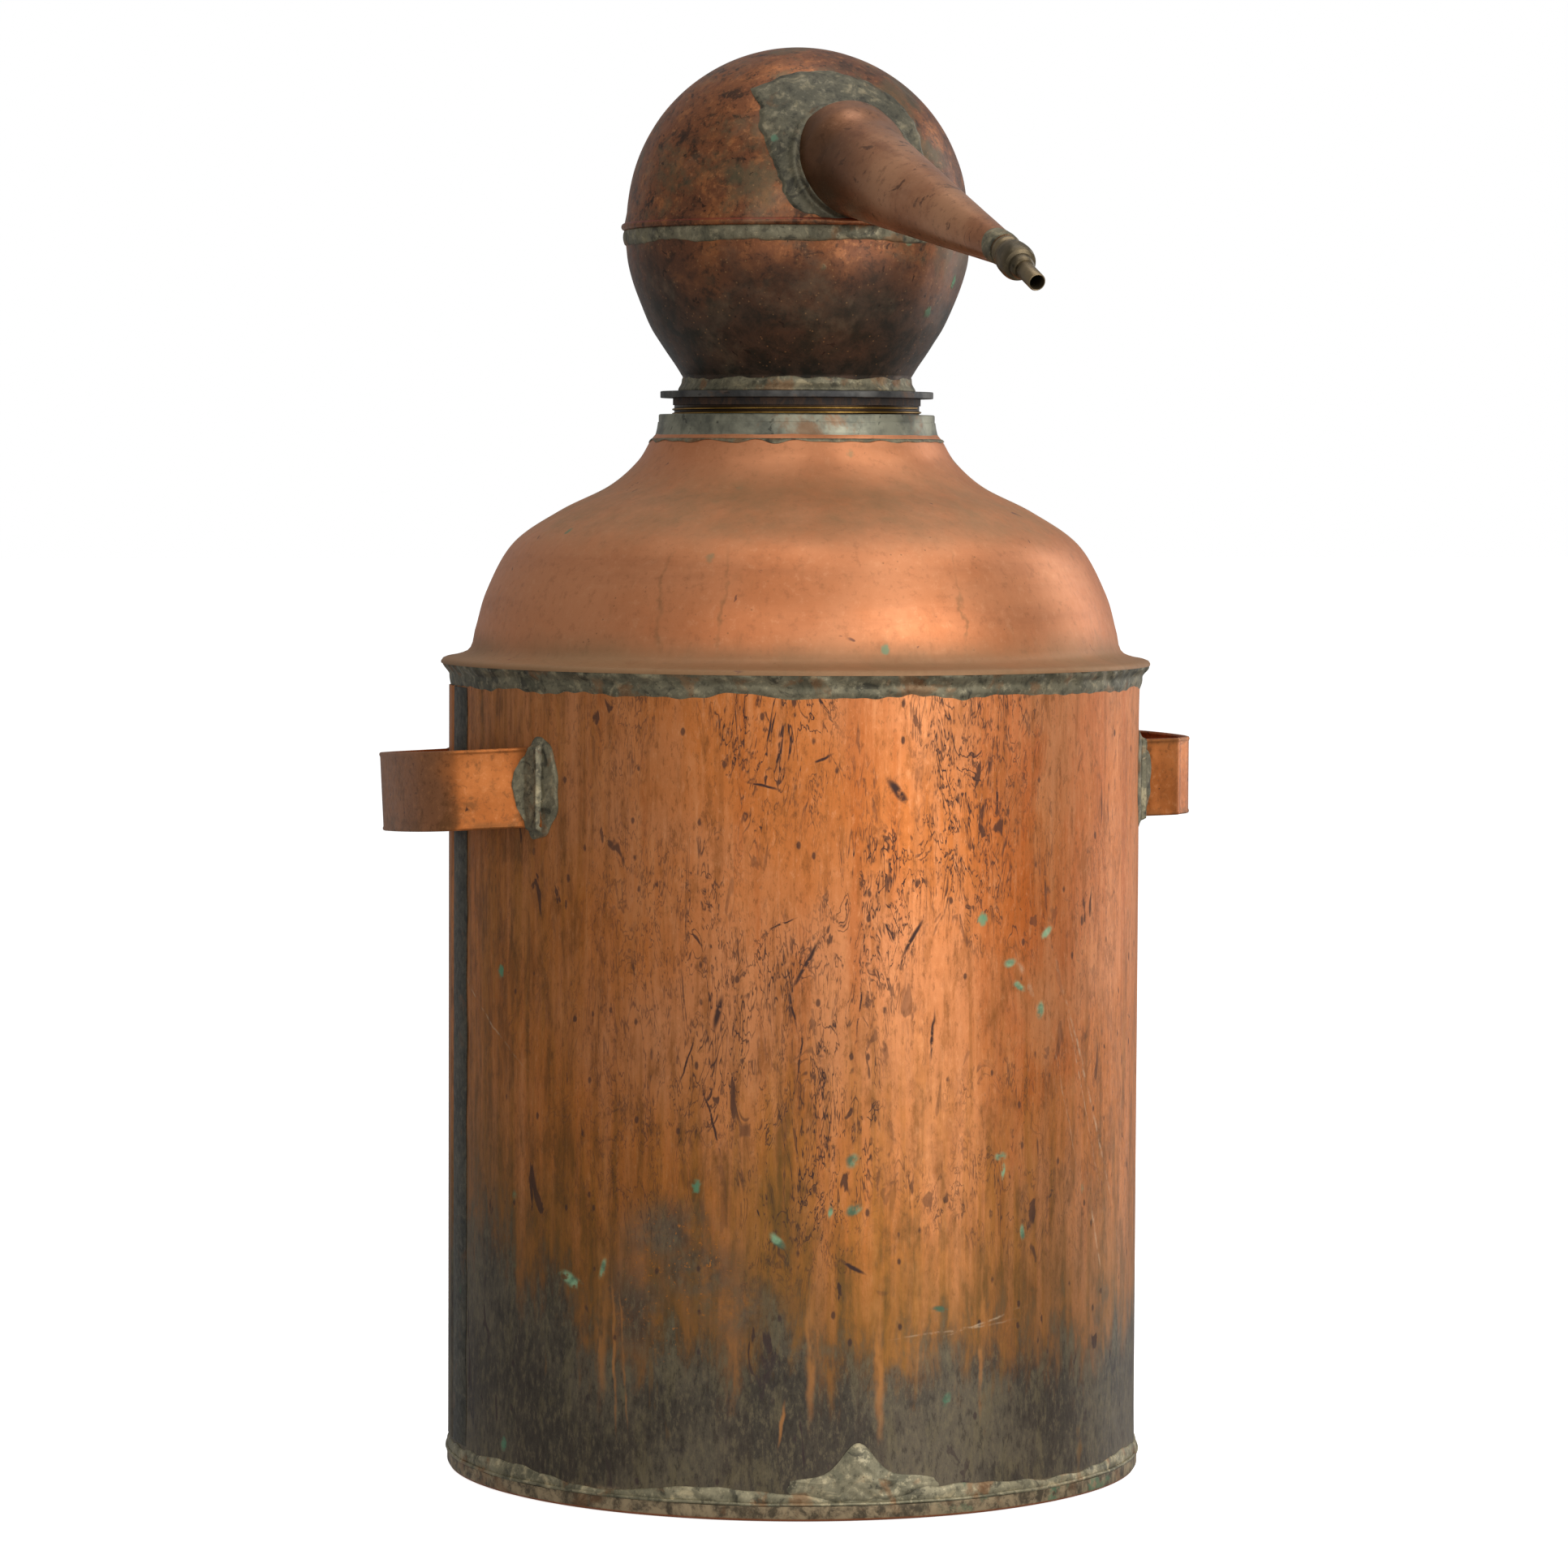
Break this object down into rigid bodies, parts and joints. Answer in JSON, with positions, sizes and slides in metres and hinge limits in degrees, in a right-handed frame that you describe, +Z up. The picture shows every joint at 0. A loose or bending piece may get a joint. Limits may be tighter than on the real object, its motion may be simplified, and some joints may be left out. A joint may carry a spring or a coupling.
{
  "type": "alembic still",
  "caption": "Copper pot still: straight soldered pot, domed shoulder, two strap handles, and a globe head with a tapered spout that screws onto a brass collar.",
  "frame": {"origin": "centre of the pot's flat bottom, on the surface it stands on", "axes": "+Z up along the pot's axis; the two handles lie on +X and -X; the spout points to -Y"},
  "size_m": [0.4795, 0.564, 0.822],
  "materials": {
    "copper_pot": "aged, streaked and stained copper sheet",
    "copper_shoulder": "aged satin copper sheet with grey-green bloom",
    "copper_handle": "aged copper strap",
    "copper_head": "dark red-brown oxidised copper",
    "copper_spout": "aged satin copper",
    "solder": "dull grey lead-tin solder with tan highlights",
    "tinned_brass": "worn tinned brass",
    "dark_plate": "dark patinated brass",
    "thread_brass": "rubbed brass on dark brown",
    "nose_brass": "grey-brown patinated brass",
    "seal_leather": "dark oiled leather"
  },
  "bodies": {
    "pot": {"pot_wall": "copper_pot", "side_seam": "copper_pot", "side_seam_solder": "solder", "pot_bottom": "copper_pot", "base_rim_bead": "copper_pot", "base_solder": "solder", "base_repair_patch": "solder", "shoulder": "copper_shoulder", "shoulder_solder": "solder", "collar_skirt": "tinned_brass", "collar_thread_ring": "tinned_brass", "collar_solder": "solder", "handle_left": "copper_handle", "handle_right": "copper_handle", "handle_left_front_solder": "solder", "handle_left_rear_solder": "solder", "handle_right_front_solder": "solder", "handle_right_rear_solder": "solder"},
    "seal": {"neck_seal": "seal_leather"},
    "head": {"neck_plate": "dark_plate", "neck_thread_ring": "thread_brass", "neck_solder": "solder", "head_lower_bowl": "copper_head", "head_upper_bowl": "copper_head", "belt_solder": "solder", "spout_root_solder": "solder", "spout_cone": "copper_spout", "spout_seam": "copper_spout", "ferrule_solder": "solder", "spout_ferrule": "nose_brass", "spout_tube": "nose_brass"}
  },
  "joints": [
    {"name": "head_lift", "type": "slide", "parent": "pot", "child": "seal", "axis": [0, 0, 1], "range_m": [-0.0091, 0.0151]},
    {"name": "head_turn", "type": "hinge", "parent": "seal", "child": "head", "pos_m": [0, 0, 0.6], "axis": [0, 0, 1], "range_deg": [-1296, 2160]}
  ],
  "couplings": [
    {"joint": "head_lift", "follows": "head_turn", "m_per_rad": 0.00039789}
  ]
}
